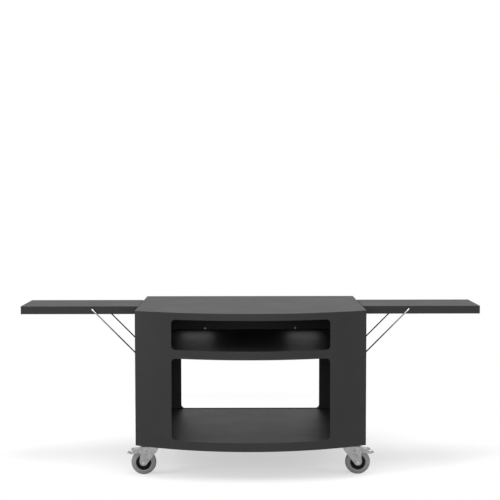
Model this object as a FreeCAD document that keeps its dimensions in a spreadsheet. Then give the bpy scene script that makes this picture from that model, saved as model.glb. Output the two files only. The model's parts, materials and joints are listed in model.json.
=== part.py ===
import FreeCAD, Part
import math
import os
import re
import Sketcher

# Outdoor oven table in sheet steel. Origin on the floor under the middle of the whole table,
# +X to the right seen from the front, +Y to the back, +Z up. Millimetres.
doc = FreeCAD.newDocument("OvenTable")

DIMENSIONS = [
    # Carcass
    ("body_width", 1144, "across the side walls"),
    ("side_depth", 734, "front corner to rear face"),
    ("bow_depth", 148, "how far the front bows out past its corners"),
    ("table_height", 830, "floor to table top"),
    ("caster_height", 158, "floor to the underside of the carcass"),
    ("panel_sheet", 2, "sheet of the four walls"),
    ("top_plate", 3, "plate of the table top"),
    ("floor_sheet", 2, "sheet of the two floors"),
    ("window_width", 775, "both windows in the front"),
    ("rear_window_width", 770, "window in the rear"),
    ("window_corner", 20, "corner radius of the windows"),
    ("bottom_rail", 44, "front sheet below the log window, which takes up the height left over"),
    ("middle_rail", 42, "front sheet between the windows"),
    ("compartment_window", 149, "height of the upper window"),
    ("top_rail", 34, "table top to the head of the upper window"),
    ("vent_width", 172, "each of the two vents in the compartment's rear wall"),
    ("vent_height", 94, "vents, measured down from the upper window's head"),
    ("vent_spacing", 590, "between the vents' middles"),
    ("floor_drop", 3, "a floor lies this far under its window's sill"),
    ("floor_lip", 34, "rolled lip along a floor's front edge"),
    ("flange_width", 25, "side wall's folded flanges"),
    ("seam", 0.3, "gap between neighbouring sheets"),
    # Beams, stiffeners and caster rails
    ("beam_width", 60, "beam under the top"),
    ("beam_depth", 26, "beam under the top"),
    ("beam_sheet", 2, "beam under the top"),
    ("beam_setback", 72, "middle of an end beam to the front corner or rear face"),
    ("stiffener_width", 50, "channel under a floor"),
    ("stiffener_depth", 20, "channel under a floor"),
    ("stiffener_sheet", 2, "channel under a floor"),
    ("stiffener_spacing", 300, "between the two channels of a floor"),
    ("rail_width", 110, "tray that the casters bolt to"),
    ("rail_sheet", 3, "tray that the casters bolt to"),
    # Screws of the carcass
    ("screw_diameter", 6, "panel screws"),
    ("screw_head", 12, "diameter of a round head"),
    ("screw_head_height", 3, "height of a round head"),
    ("screw_clearance", 0.3, "hole's radius over the screw's"),
    ("screw_grip", 9, "a rear screw's length under its head"),
    ("back_screw_spacing", 502, "between the two screws in the compartment"),
    ("back_screw_rise", 7.3, "those screws over the compartment floor"),
    ("rear_screw_margin", 45, "rear screws to the floors above or below them"),
    # Casters
    ("wheel_diameter", 125, "over the tyre"),
    ("tyre_width", 34, "across the tread"),
    ("tyre_shoulder", 8, "radius from tread to side"),
    ("rim_diameter", 77, "tyre's seat"),
    ("rim_width", 30, "across the rim"),
    ("rim_wall", 5, "rim's outer ring"),
    ("rim_web", 6, "disc between hub and ring"),
    ("rim_ribs", 12, "radial ribs"),
    ("rim_rib", 3, "rib's thickness"),
    ("hub_diameter", 26, "hub"),
    ("hub_width", 40, "hub"),
    ("axle_diameter", 8, "axle bolt"),
    ("running_gap", 0.07, "radial gap of a running fit"),
    ("caster_trail", 33, "swivel axis to axle"),
    ("caster_inset", 56, "swivel axis to front corner or rear face"),
    ("caster_side_inset", 69, "swivel axis to side wall"),
    ("plate_length", 100, "caster's top plate"),
    ("plate_width", 85, "caster's top plate"),
    ("plate_sheet", 4, "caster's top plate"),
    ("plate_corner", 6, "caster's top plate"),
    ("hole_pitch_long", 80, "plate's holes along its length"),
    ("hole_pitch_short", 60, "plate's holes across it"),
    ("bolt_diameter", 8, "caster bolts"),
    ("bolt_clearance", 0.5, "hole's radius over the bolt's"),
    ("bolt_head_across", 13, "hexagon across its flats"),
    ("bolt_head_height", 5.3, "hexagon head"),
    ("nut_height", 6.5, "hexagon nut"),
    ("bolt_overrun", 2, "bolt's end past its nut"),
    ("race_diameter", 64, "pressed race under the plate"),
    ("race_depth", 7, "pressed race under the plate"),
    ("race_gap", 0.5, "ball gap between race and fork"),
    ("king_pin_diameter", 12, "swivel pin"),
    ("king_pin_head", 20, "swivel pin's lower head"),
    ("king_pin_head_height", 3, "swivel pin's lower head"),
    ("fork_sheet", 3, "pressed fork"),
    ("fork_dish", 60, "fork's raised dish"),
    ("fork_dish_height", 4.5, "fork's raised dish"),
    ("fork_play", 0.5, "hub to fork leg"),
    ("fork_tip_radius", 20, "round end of a fork leg"),
    ("fork_reach_front", 14, "fork's crown past the axle, outboard"),
    ("fork_reach_back", 72, "fork's crown past the axle, inboard"),
    ("fork_skirt", 12, "height of the crown's sides before the legs narrow"),
    # Brake pedal
    ("pedal_pin_diameter", 6, "pedal's pin"),
    ("pedal_pin_back", 3, "pedal's pin inboard of the axle"),
    ("pedal_pin_rise", 68, "pedal's pin over the axle"),
    ("pedal_pin_overrun", 1.5, "pedal's pin past the fork"),
    ("pedal_sheet", 2, "pedal"),
    ("pedal_play", 0.5, "pedal to fork leg"),
    ("pedal_upper_reach", 63, "upper leaf's end past the axle"),
    ("pedal_lower_reach", 82, "lower leaf's end past the axle"),
    # Side shelves
    ("shelf_length", 600, "out from the table"),
    ("shelf_width", 322, "along the table's side"),
    ("shelf_thickness", 40, "pan's depth"),
    ("shelf_sheet", 2, "pan"),
    ("shelf_corner", 5, "pan's upright corners"),
    ("shelf_return", 20, "pan's bottom return"),
    ("shelf_gap", 3, "pan to side wall"),
    ("shelf_rib_width", 80, "channel under the pan's skin"),
    ("shelf_rib_depth", 22, "channel under the pan's skin"),
    ("shelf_rib_sheet", 1.5, "channel under the pan's skin"),
    ("hinge_offset", 7, "hinge pin to side wall"),
    ("hinge_drop", 6, "hinge pin under the pan"),
    ("hinge_pin_diameter", 5, "hinge pin"),
    ("hinge_barrel", 10, "hinge knuckle"),
    ("hinge_length", 72, "hinge along the table's side"),
    ("hinge_spacing", 200, "between the two hinges of a shelf"),
    ("hinge_wall_leaf", 44, "leaf down the side wall"),
    ("hinge_shelf_leaf", 32, "leaf under the pan"),
    ("hinge_leaf_sheet", 2, "leaf"),
    ("hinge_play", 0.5, "between neighbouring knuckles"),
    # Stays
    ("stay_diameter", 7, "bent rod"),
    ("stay_bend", 7, "rod's centre line where it turns into the pan"),
    ("stay_foot_bend", 14, "rod's centre line at the wall"),
    ("stay_side_gap", 1.5, "pan's side to the start of the turn"),
    ("stay_tail", 16, "rod's end inside the pan"),
    ("stay_pivot_reach", 238, "stay's pivot to side wall"),
    ("stay_pivot_drop", 14, "stay's pivot under the table top"),
    ("stay_foot_drop", 248, "table top to the stay's bar"),
    ("washer_diameter", 15, "push-on washer"),
    ("washer_sheet", 1.2, "push-on washer"),
    ("hook_sheet", 2, "hook on the side wall"),
    ("hook_width", 18, "hook along the side wall"),
    ("hook_spacing", 220, "between the two hooks of a side"),
    ("hook_tail", 22, "hook's plate over the bar"),
    ("hook_lip", 1.5, "hook's lip over the bar's centre"),
]

sheet = doc.addObject("Spreadsheet::Sheet", "Sizes")
for row, (alias, size, note) in enumerate(DIMENSIONS, 1):
    sheet.set(f"A{row}", alias)
    sheet.set(f"B{row}", str(size))
    sheet.setAlias(f"B{row}", alias)
    sheet.set(f"C{row}", note)
doc.recompute()

ALIASES = {alias for alias, size, note in DIMENSIONS}
nodes = []


def bound(text):
    # Turns plain size names into references to the sheet
    def reference(word):
        return "Sizes." + word.group() if word.group() in ALIASES else word.group()

    return re.sub(r"[a-z_]+", reference, text)


def measure(text):
    return float(sheet.evalExpression(bound(text)))


# Places that several pieces share, worked out from the driving dimensions
HALF_WIDTH = "(body_width / 2)"
FRONT_APEX = "(-(side_depth + bow_depth + screw_head_height) / 2)"
FRONT_CORNER = f"({FRONT_APEX} + bow_depth)"
REAR_FACE = f"({FRONT_CORNER} + side_depth)"
REAR_INNER = f"({REAR_FACE} - panel_sheet)"
BOW_RADIUS = "((body_width ^ 2 / 4 + bow_depth ^ 2) / (2 * bow_depth))"
BOW_CENTRE = f"({FRONT_APEX} + {BOW_RADIUS})"
TOP_UNDERSIDE = "(table_height - top_plate)"
WALL_HEIGHT = f"({TOP_UNDERSIDE} - caster_height)"
LOG_SILL = "(caster_height + bottom_rail)"
COMPARTMENT_HEAD = "(table_height - top_rail)"
COMPARTMENT_SILL = f"({COMPARTMENT_HEAD} - compartment_window)"
LOG_HEAD = f"({COMPARTMENT_SILL} - middle_rail)"
LOWER_SHELF_TOP = f"({LOG_SILL} - floor_drop)"
COMPARTMENT_FLOOR_TOP = f"({COMPARTMENT_SILL} - floor_drop)"
BACK_SCREW_HEIGHT = f"({COMPARTMENT_FLOOR_TOP} + back_screw_rise)"

AXLE_HEIGHT = "(wheel_diameter / 2)"
SWIVEL_X = f"({HALF_WIDTH} - caster_side_inset)"
SWIVEL_FRONT = f"({FRONT_CORNER} + caster_inset)"
SWIVEL_REAR = f"({REAR_FACE} - caster_inset)"
PLATE_UNDERSIDE = "(caster_height - plate_sheet)"
RACE_BOTTOM = f"({PLATE_UNDERSIDE} - race_depth)"
CROWN_TOP = f"({RACE_BOTTOM} - race_gap - fork_dish_height)"
CROWN_UNDERSIDE = f"({CROWN_TOP} - fork_sheet)"
FORK_INSIDE = "(hub_width / 2 + fork_play)"
FORK_OUTSIDE = f"({FORK_INSIDE} + fork_sheet)"
PEDAL_PIN_X = "(caster_trail - pedal_pin_back)"
PEDAL_PIN_Z = f"({AXLE_HEIGHT} + pedal_pin_rise)"

SHELF_UNDERSIDE = "(table_height - shelf_thickness)"
SHELF_MIDDLE = f"(({FRONT_CORNER} + {REAR_FACE}) / 2)"
SHELF_END = "(shelf_gap + shelf_length)"
HINGE_Z = f"({SHELF_UNDERSIDE} - hinge_drop)"
STAY_PIVOT_Z = "(table_height - stay_pivot_drop)"
STAY_FOOT_Z = "(table_height - stay_foot_drop)"
STAY_FOOT_X = "(hook_sheet + seam + stay_diameter / 2)"
STAY_RUN = f"(stay_pivot_reach - {STAY_FOOT_X})"
STAY_FALL = f"({STAY_PIVOT_Z} - {STAY_FOOT_Z})"
STAY_LENGTH = f"sqrt({STAY_RUN} ^ 2 + {STAY_FALL} ^ 2)"
STAY_TURN = "(shelf_width / 2 + stay_side_gap)"
STAY_LEG_Y = f"({STAY_TURN} + stay_bend)"

LEFT, RIGHT = -1, 1
CASTERS = [
    ("front_left", LEFT, SWIVEL_FRONT, True),
    ("front_right", RIGHT, SWIVEL_FRONT, True),
    ("rear_left", LEFT, SWIVEL_REAR, False),
    ("rear_right", RIGHT, SWIVEL_REAR, False),
]


def bow_at(x, inset="0"):
    # Depth of the front's curve at x, a distance inset behind its outer face
    return f"({BOW_CENTRE} - sqrt(({BOW_RADIUS} - {inset}) ^ 2 - ({x}) ^ 2))"


def place(thing, x="0", y="0", z="0", angle="0", axis=(0, 0, 1)):
    # Binds a Placement: a turn about an axis, then a move
    move = f"create(<<vector>>; {bound(x)}; {bound(y)}; {bound(z)})"
    turn = "create(<<rotation>>; create(<<vector>>; %g; %g; %g); %s)" % (*axis, bound(str(angle)))
    thing.setExpression("Placement", f"create(<<placement>>; {move}; {turn})")
    return thing


def place_beside(thing, side, x, y):
    # A piece made for the right side, with +X outward, is turned half round for the left one
    return place(thing, f"{side} * {x}", y, angle="180" if side == LEFT else "0")


def new_body(label):
    body = doc.addObject("PartDesign::Body", label)
    body.Label = label
    nodes.append(body)
    return body


def new_sketch(body, plane, x="0", y="0", z="0"):
    # A sketch on one of the body's own planes, shifted in the plane's axes
    sketch = body.newObject("Sketcher::SketchObject", body.Name + "_sketch")
    origin = [part for part in body.Origin.OriginFeatures if part.Role == plane + "_Plane"]
    sketch.AttachmentSupport = [(origin[0], "")]
    sketch.MapMode = "FlatFace"
    for axis, shift in (("x", x), ("y", y), ("z", z)):
        sketch.setExpression(f"AttachmentOffset.Base.{axis}", bound(shift))
    return sketch


def constrain(sketch, kind, geometry, point, expression):
    if kind == "Radius":
        constraint = Sketcher.Constraint(kind, geometry, measure(expression))
    else:
        constraint = Sketcher.Constraint(kind, -1, 1, geometry, point, measure(expression))
    index = sketch.addConstraint(constraint)
    sketch.setExpression(f"Constraints[{index}]", bound(expression))


def arc_between(start, end, radius, side):
    # The shorter arc from start to end; side 1 bulges right of the way, side -1 left
    chord = end - start
    normal = FreeCAD.Vector(chord.y, -chord.x, 0).normalize() * side
    depth = math.sqrt(radius ** 2 - (chord.Length / 2) ** 2)
    centre = (start + end) * 0.5 - normal * depth
    first, last = (start, end) if side > 0 else (end, start)
    begin = math.atan2(first.y - centre.y, first.x - centre.x)
    finish = math.atan2(last.y - centre.y, last.x - centre.x)
    if finish < begin:
        finish += 2 * math.pi
    circle = Part.Circle(centre, FreeCAD.Vector(0, 0, 1), radius)
    return Part.ArcOfCircle(circle, begin, finish)


def draw_outline(sketch, corners, arcs=None, closed=True):
    # Lines and arcs through the corners, each corner tied to its own two expressions
    arcs = arcs or {}
    points = [FreeCAD.Vector(measure(x), measure(y), 0) for x, y in corners]
    count = len(points) if closed else len(points) - 1
    edges = []
    for index in range(count):
        start = points[index]
        end = points[(index + 1) % len(points)]
        radius, side = arcs.get(index, (None, 1))
        if radius:
            edge = sketch.addGeometry(arc_between(start, end, measure(radius), side), False)
            constrain(sketch, "Radius", edge, None, radius)
        else:
            edge = sketch.addGeometry(Part.LineSegment(start, end), False)
        edges.append((edge, 1, 2) if side > 0 else (edge, 2, 1))
    for index in range(count if closed else count - 1):
        edge, start, end = edges[index]
        following, first, last = edges[(index + 1) % count]
        sketch.addConstraint(Sketcher.Constraint("Coincident", edge, end, following, first))
    for index, (x, y) in enumerate(corners):
        edge, point = (edges[index][0], edges[index][1]) if index < count else (edges[-1][0], edges[-1][2])
        constrain(sketch, "DistanceX", edge, point, x)
        constrain(sketch, "DistanceY", edge, point, y)


def draw_box(sketch, left, right, low, high):
    draw_outline(sketch, [(left, low), (right, low), (right, high), (left, high)])


def draw_rounded_box(sketch, left, right, low, high, radius):
    corners = [
        (f"{left} + {radius}", low), (f"{right} - {radius}", low),
        (right, f"{low} + {radius}"), (right, f"{high} - {radius}"),
        (f"{right} - {radius}", high), (f"{left} + {radius}", high),
        (left, f"{high} - {radius}"), (left, f"{low} + {radius}"),
    ]
    draw_outline(sketch, corners, {index: (radius, 1) for index in (1, 3, 5, 7)})


def draw_circle(sketch, x, y, radius):
    centre = FreeCAD.Vector(measure(x), measure(y), 0)
    circle = Part.Circle(centre, FreeCAD.Vector(0, 0, 1), measure(radius))
    edge = sketch.addGeometry(circle, False)
    constrain(sketch, "Radius", edge, None, radius)
    constrain(sketch, "DistanceX", edge, 3, x)
    constrain(sketch, "DistanceY", edge, 3, y)


def pad(body, sketch, length, side="One side"):
    feature = body.newObject("PartDesign::Pad", body.Name + "_pad")
    feature.Profile = sketch
    feature.SideType = side
    feature.setExpression("Length", bound(length))
    return feature


def cut(body, sketch, length=None, side="Symmetric", reverse=False):
    # A pocket, right through when no length is given; it has to take material away
    doc.recompute()
    before = body.Shape.Volume
    feature = body.newObject("PartDesign::Pocket", body.Name + "_pocket")
    feature.Profile = sketch
    feature.SideType = side
    feature.Reversed = reverse
    if length:
        feature.setExpression("Length", bound(length))
    else:
        feature.Type = "ThroughAll"
    doc.recompute()
    if not body.Shape.Volume < before:
        raise RuntimeError(f"{feature.Name} cuts nothing")
    return feature


def cylinder(name, radius, height, x="0", y="0", z="0", angle="0", axis=(0, 0, 1)):
    thing = doc.addObject("Part::Cylinder", name)
    thing.setExpression("Radius", bound(radius))
    thing.setExpression("Height", bound(height))
    return place(thing, x, y, z, angle, axis)


def cone(name, radius, end_radius, height, x, y, z, angle, axis):
    thing = doc.addObject("Part::Cone", name)
    thing.setExpression("Radius1", bound(radius))
    thing.setExpression("Radius2", bound(end_radius))
    thing.setExpression("Height", bound(height))
    return place(thing, x, y, z, angle, axis)


def hexagon(name, across, height, x, y, z):
    thing = doc.addObject("Part::Prism", name)
    thing.Polygon = 6
    thing.setExpression("Circumradius", bound(f"({across}) / sqrt(3)"))
    thing.setExpression("Height", bound(height))
    return place(thing, x, y, z)


def block(name, length, width, height, x, y, z):
    thing = doc.addObject("Part::Box", name)
    thing.setExpression("Length", bound(length))
    thing.setExpression("Width", bound(width))
    thing.setExpression("Height", bound(height))
    return place(thing, x, y, z)


def fuse(name, pieces):
    thing = doc.addObject("Part::MultiFuse", name)
    thing.Shapes = pieces
    return thing


def subtract(name, base, tool):
    thing = doc.addObject("Part::Cut", name)
    thing.Base = base
    thing.Tool = tool
    return thing


def group(label, pieces):
    # One node that holds several separate solids
    thing = doc.addObject("Part::Compound", label)
    thing.Label = label
    thing.Links = pieces
    nodes.append(thing)
    return thing


def make_front_panel():
    body = new_body("front_panel")
    strip = new_sketch(body, "XY", z="caster_height")
    back = bow_at(HALF_WIDTH, "panel_sheet")
    corners = [
        (f"-{HALF_WIDTH}", FRONT_CORNER), (HALF_WIDTH, FRONT_CORNER),
        (HALF_WIDTH, back), (f"-{HALF_WIDTH}", back),
    ]
    draw_outline(strip, corners, {0: (BOW_RADIUS, 1), 2: (f"({BOW_RADIUS} - panel_sheet)", -1)})
    pad(body, strip, WALL_HEIGHT)
    for low, high in ((LOG_SILL, LOG_HEAD), (COMPARTMENT_SILL, COMPARTMENT_HEAD)):
        window = new_sketch(body, "XZ")
        draw_rounded_box(window, "-window_width / 2", "window_width / 2", low, high, "window_corner")
        cut(body, window)


def rear_screw_places(side):
    # A column of screws through the side wall's rear flange, clear of both floors
    heights = (
        f"({LOWER_SHELF_TOP} + rear_screw_margin)",
        f"(({LOWER_SHELF_TOP} + {COMPARTMENT_FLOOR_TOP}) / 2)",
        f"({COMPARTMENT_FLOOR_TOP} - rear_screw_margin)",
        f"(({COMPARTMENT_FLOOR_TOP} + {TOP_UNDERSIDE}) / 2)",
    )
    return [(f"({side} * ({HALF_WIDTH} - flange_width / 2))", height) for height in heights]


def back_screw_places():
    return [(f"({side} * back_screw_spacing / 2)", BACK_SCREW_HEIGHT) for side in (LEFT, RIGHT)]


def make_rear_panel():
    body = new_body("rear_panel")
    plate = new_sketch(body, "XZ", z=f"-{REAR_FACE}")
    draw_box(plate, f"-{HALF_WIDTH}", HALF_WIDTH, "caster_height", TOP_UNDERSIDE)
    pad(body, plate, "panel_sheet")
    window = new_sketch(body, "XZ")
    draw_rounded_box(window, "-rear_window_width / 2", "rear_window_width / 2",
                     LOG_SILL, LOG_HEAD, "window_corner")
    cut(body, window)
    vents = new_sketch(body, "XZ")
    for side in (LEFT, RIGHT):
        middle = f"({side} * vent_spacing / 2)"
        draw_rounded_box(vents, f"({middle} - vent_width / 2)", f"({middle} + vent_width / 2)",
                         f"({COMPARTMENT_HEAD} - vent_height)", COMPARTMENT_HEAD, "window_corner")
    cut(body, vents)
    holes = new_sketch(body, "XZ")
    for x, height in rear_screw_places(LEFT) + rear_screw_places(RIGHT) + back_screw_places():
        draw_circle(holes, x, height, "(screw_diameter / 2 + screw_clearance)")
    cut(body, holes)


def make_side_panel(label, side):
    # Folded sheet: a wall, a rear flange, and a front flange that follows the bow
    def across(inset):
        return f"({side} * ({HALF_WIDTH} - {inset}))"

    behind = "(panel_sheet + seam)"
    corners = [
        (across("0"), bow_at(HALF_WIDTH, behind)),
        (across("0"), REAR_INNER),
        (across("flange_width"), REAR_INNER),
        (across("flange_width"), f"{REAR_INNER} - panel_sheet"),
        (across("panel_sheet"), f"{REAR_INNER} - panel_sheet"),
        (across("panel_sheet"), f"{bow_at(f'({HALF_WIDTH} - panel_sheet)', behind)} + panel_sheet"),
        (across("flange_width"), f"{bow_at(f'({HALF_WIDTH} - flange_width)', behind)} + panel_sheet"),
        (across("flange_width"), bow_at(f"({HALF_WIDTH} - flange_width)", behind)),
    ]
    body = new_body(label)
    profile = new_sketch(body, "XY", z="caster_height")
    draw_outline(profile, corners)
    pad(body, profile, WALL_HEIGHT)
    holes = new_sketch(body, "XZ")
    for x, height in rear_screw_places(side):
        draw_circle(holes, x, height, "(screw_diameter / 2 + screw_clearance)")
    cut(body, holes)


def make_table_top():
    body = new_body("table_top")
    plan = new_sketch(body, "XY", z=TOP_UNDERSIDE)
    corners = [
        (f"-{HALF_WIDTH}", FRONT_CORNER), (HALF_WIDTH, FRONT_CORNER),
        (HALF_WIDTH, REAR_FACE), (f"-{HALF_WIDTH}", REAR_FACE),
    ]
    draw_outline(plan, corners, {0: (BOW_RADIUS, 1)})
    pad(body, plan, "top_plate")


def make_floor(label, top):
    # A floor's corners are notched round the side walls' flanges
    body = new_body(label)
    plan = new_sketch(body, "XY", z=f"{top} - floor_sheet")
    behind = "(panel_sheet + seam)"
    front_x = f"({HALF_WIDTH} - flange_width - 2 * seam)"
    wall_x = f"({HALF_WIDTH} - panel_sheet - seam)"
    front_y = bow_at(front_x, behind)
    notch_y = f"({bow_at(HALF_WIDTH, behind)} + panel_sheet + seam)"
    rear_notch_y = f"({REAR_INNER} - panel_sheet - seam)"
    corners = [
        (f"-{front_x}", front_y), (front_x, front_y),
        (front_x, notch_y), (wall_x, notch_y),
        (wall_x, rear_notch_y), (front_x, rear_notch_y),
        (front_x, REAR_INNER), (f"-{front_x}", REAR_INNER),
        (f"-{front_x}", rear_notch_y), (f"-{wall_x}", rear_notch_y),
        (f"-{wall_x}", notch_y), (f"-{front_x}", notch_y),
    ]
    draw_outline(plan, corners, {0: (f"({BOW_RADIUS} - {behind})", 1)})
    pad(body, plan, "floor_sheet")
    lip = new_sketch(body, "XY", z=f"{top} - floor_lip")
    inner = f"({behind} + floor_sheet)"
    inner_y = bow_at(front_x, inner)
    strip = [(f"-{front_x}", front_y), (front_x, front_y), (front_x, inner_y), (f"-{front_x}", inner_y)]
    draw_outline(lip, strip, {0: (f"({BOW_RADIUS} - {behind})", 1), 2: (f"({BOW_RADIUS} - {inner})", -1)})
    pad(body, lip, "floor_lip")


def draw_channel(sketch, middle, width, top, depth, wall):
    # A channel open below, seen along its length
    left = f"{middle} - {width} / 2"
    right = f"{middle} + {width} / 2"
    corners = [
        (left, f"{top} - {depth}"), (f"{left} + {wall}", f"{top} - {depth}"),
        (f"{left} + {wall}", f"{top} - {wall}"), (f"{right} - {wall}", f"{top} - {wall}"),
        (f"{right} - {wall}", f"{top} - {depth}"), (right, f"{top} - {depth}"),
        (right, top), (left, top),
    ]
    draw_outline(sketch, corners)


def make_top_beams():
    front = f"({FRONT_CORNER} + beam_setback)"
    rear = f"({REAR_FACE} - beam_setback)"
    for label, middle in (("front", front), ("middle", f"({front} + {rear}) / 2"), ("rear", rear)):
        body = new_body(f"top_beam_{label}")
        profile = new_sketch(body, "YZ")
        draw_channel(profile, middle, "beam_width", TOP_UNDERSIDE, "beam_depth", "beam_sheet")
        pad(body, profile, "body_width - 2 * panel_sheet", "Symmetric")


def make_stiffeners(label, top, length):
    body = new_body(label)
    for along in (-1, 1):
        profile = new_sketch(body, "YZ")
        middle = f"({along} * stiffener_spacing / 2)"
        draw_channel(profile, middle, "stiffener_width", f"({top} - floor_sheet)",
                     "stiffener_depth", "stiffener_sheet")
        pad(body, profile, length, "Symmetric")


def plate_hole_places(x="0", y="0"):
    places = []
    for along in (-1, 1):
        for across in (-1, 1):
            places.append((f"{x} + {along} * hole_pitch_long / 2", f"{y} + {across} * hole_pitch_short / 2"))
    return places


def make_caster_rail(label, side):
    # A tray open above: the casters bolt to its floor, and the lower shelf lies on its walls
    body = new_body(label)
    low = bow_at(f"({SWIVEL_X} + rail_width / 2)", "(panel_sheet + flange_width / 2)")
    high = f"({REAR_INNER} - panel_sheet - seam)"
    middle = f"({side} * {SWIVEL_X})"
    depth = f"({LOWER_SHELF_TOP} - floor_sheet - caster_height)"
    plan = new_sketch(body, "XY", z="caster_height")
    draw_box(plan, f"{middle} - rail_width / 2", f"{middle} + rail_width / 2", low, high)
    pad(body, plan, depth)
    hollow = new_sketch(body, "XY", z="caster_height + rail_sheet")
    inside = "(rail_width / 2 - rail_sheet)"
    draw_box(hollow, f"{middle} - {inside}", f"{middle} + {inside}", low, high)
    cut(body, hollow, f"{depth} - rail_sheet", "One side", True)
    holes = new_sketch(body, "XY")
    for name, caster_side, y, braked in CASTERS:
        if caster_side == side:
            for hole_x, hole_y in plate_hole_places(middle, y):
                draw_circle(holes, hole_x, hole_y, "(bolt_diameter / 2 + bolt_clearance)")
    cut(body, holes)


def make_screws(label, places, inside):
    # Round-headed screws through the rear panel, with their heads inside or outside it
    pieces = []
    grip = "(panel_sheet + screw_head_height)" if inside else "screw_grip"
    head_y = REAR_INNER if inside else REAR_FACE
    turn = 90 if inside else -90
    for number, (x, height) in enumerate(places, 1):
        name = f"{label}_{number}"
        head = cone(name + "_head", "screw_head / 2", "screw_head / 3", "screw_head_height",
                    x, head_y, height, turn, (1, 0, 0))
        shank = cylinder(name + "_shank", "screw_diameter / 2", grip,
                         x, head_y, height, -turn, (1, 0, 0))
        pieces.append(fuse(name, [head, shank]))
    group(label, pieces)


def make_caster_bolts():
    bolts = []
    nuts = []
    nut_seat = "(caster_height + rail_sheet)"
    grip = "(plate_sheet + rail_sheet + nut_height + bolt_overrun)"
    for name, side, y, braked in CASTERS:
        for number, (hole_x, hole_y) in enumerate(plate_hole_places(f"{side} * {SWIVEL_X}", y), 1):
            bolt = f"bolt_{name}_{number}"
            head = hexagon(bolt + "_head", "bolt_head_across", "bolt_head_height",
                           hole_x, hole_y, f"{PLATE_UNDERSIDE} - bolt_head_height")
            shank = cylinder(bolt + "_shank", "bolt_diameter / 2", grip, hole_x, hole_y, PLATE_UNDERSIDE)
            bolts.append(fuse(bolt, [head, shank]))
            nut = f"nut_{name}_{number}"
            blank = hexagon(nut + "_blank", "bolt_head_across", "nut_height", hole_x, hole_y, nut_seat)
            bore = cylinder(nut + "_bore", "bolt_diameter / 2 + running_gap", "nut_height",
                            hole_x, hole_y, nut_seat)
            nuts.append(subtract(nut, blank, bore))
    group("caster_bolts", bolts)
    group("caster_nuts", nuts)


def make_king_pins():
    pins = []
    foot = f"({CROWN_UNDERSIDE} - seam - king_pin_head_height)"
    for name, side, y, braked in CASTERS:
        x = f"{side} * {SWIVEL_X}"
        length = f"caster_height - seam - {foot}"
        head = cylinder(f"king_pin_{name}_head", "king_pin_head / 2", "king_pin_head_height", x, y, foot)
        shank = cylinder(f"king_pin_{name}_shank", "king_pin_diameter / 2", length, x, y, foot)
        pins.append(fuse(f"king_pin_{name}", [head, shank]))
    group("king_pins", pins)


def make_caster_plate(label, side, y):
    body = place_beside(new_body(label), side, SWIVEL_X, y)
    plate = new_sketch(body, "XY", z=PLATE_UNDERSIDE)
    draw_rounded_box(plate, "-plate_length / 2", "plate_length / 2", "-plate_width / 2", "plate_width / 2",
                     "plate_corner")
    pad(body, plate, "plate_sheet")
    race = new_sketch(body, "XY", z=RACE_BOTTOM)
    draw_circle(race, "0", "0", "race_diameter / 2")
    pad(body, race, "race_depth")
    holes = new_sketch(body, "XY")
    for hole_x, hole_y in plate_hole_places():
        draw_circle(holes, hole_x, hole_y, "(bolt_diameter / 2 + bolt_clearance)")
    draw_circle(holes, "0", "0", "king_pin_diameter / 2 + running_gap")
    cut(body, holes)


def make_fork(label, side, y, braked):
    # One pressing: a crown with a dish, and two legs whose outboard edge is nearly upright
    body = place_beside(new_body(label), side, SWIVEL_X, y)
    front = "(caster_trail + fork_reach_front)"
    back = "(caster_trail - fork_reach_back)"
    profile = new_sketch(body, "XZ")
    corners = [
        (back, f"{CROWN_UNDERSIDE} - fork_skirt"),
        ("caster_trail - 0.85 * fork_tip_radius", f"{AXLE_HEIGHT} - 0.3 * fork_tip_radius"),
        ("caster_trail + fork_tip_radius", f"{AXLE_HEIGHT} + 0.3 * fork_tip_radius"),
        (front, f"{CROWN_UNDERSIDE} - fork_skirt"),
        (front, CROWN_TOP),
        (back, CROWN_TOP),
    ]
    draw_outline(profile, corners, {1: ("fork_tip_radius", 1)})
    pad(body, profile, f"2 * {FORK_OUTSIDE}", "Symmetric")
    slot = new_sketch(body, "XZ")
    draw_box(slot, f"{back} - fork_sheet", "caster_trail + fork_tip_radius + fork_sheet", "0", CROWN_UNDERSIDE)
    cut(body, slot, f"2 * {FORK_INSIDE}")
    dish = new_sketch(body, "XY", z=CROWN_TOP)
    draw_circle(dish, "0", "0", "fork_dish / 2")
    pad(body, dish, "fork_dish_height")
    bore = new_sketch(body, "XY")
    draw_circle(bore, "0", "0", "king_pin_diameter / 2 + running_gap")
    cut(body, bore)
    axles = new_sketch(body, "XZ")
    draw_circle(axles, "caster_trail", AXLE_HEIGHT, "axle_diameter / 2 + running_gap")
    if braked:
        draw_circle(axles, PEDAL_PIN_X, PEDAL_PIN_Z, "pedal_pin_diameter / 2 + running_gap")
    cut(body, axles)


def make_axle_bolt(label, side, y):
    # Bolt with its head on one leg and its nut on the other
    start = f"-{FORK_OUTSIDE}"
    length = f"2 * {FORK_OUTSIDE} + nut_height + bolt_overrun"
    head = hexagon(label + "_head", "bolt_head_across", "bolt_head_height", "0", "0",
                   f"{start} - bolt_head_height")
    shank = cylinder(label + "_shank", "axle_diameter / 2", length, z=start)
    blank = hexagon(label + "_blank", "bolt_head_across", "nut_height", "0", "0", FORK_OUTSIDE)
    bore = cylinder(label + "_bore", "axle_diameter / 2 + running_gap", "nut_height", z=FORK_OUTSIDE)
    bolt = fuse(label + "_bolt", [head, shank])
    nut = subtract(label + "_nut", blank, bore)
    both = group(label, [bolt, nut])
    # The bolt is made upright and laid along the axle
    place(both, f"{side} * ({SWIVEL_X} + caster_trail)", y, AXLE_HEIGHT, f"-90 * {side}", (1, 0, 0))


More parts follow.
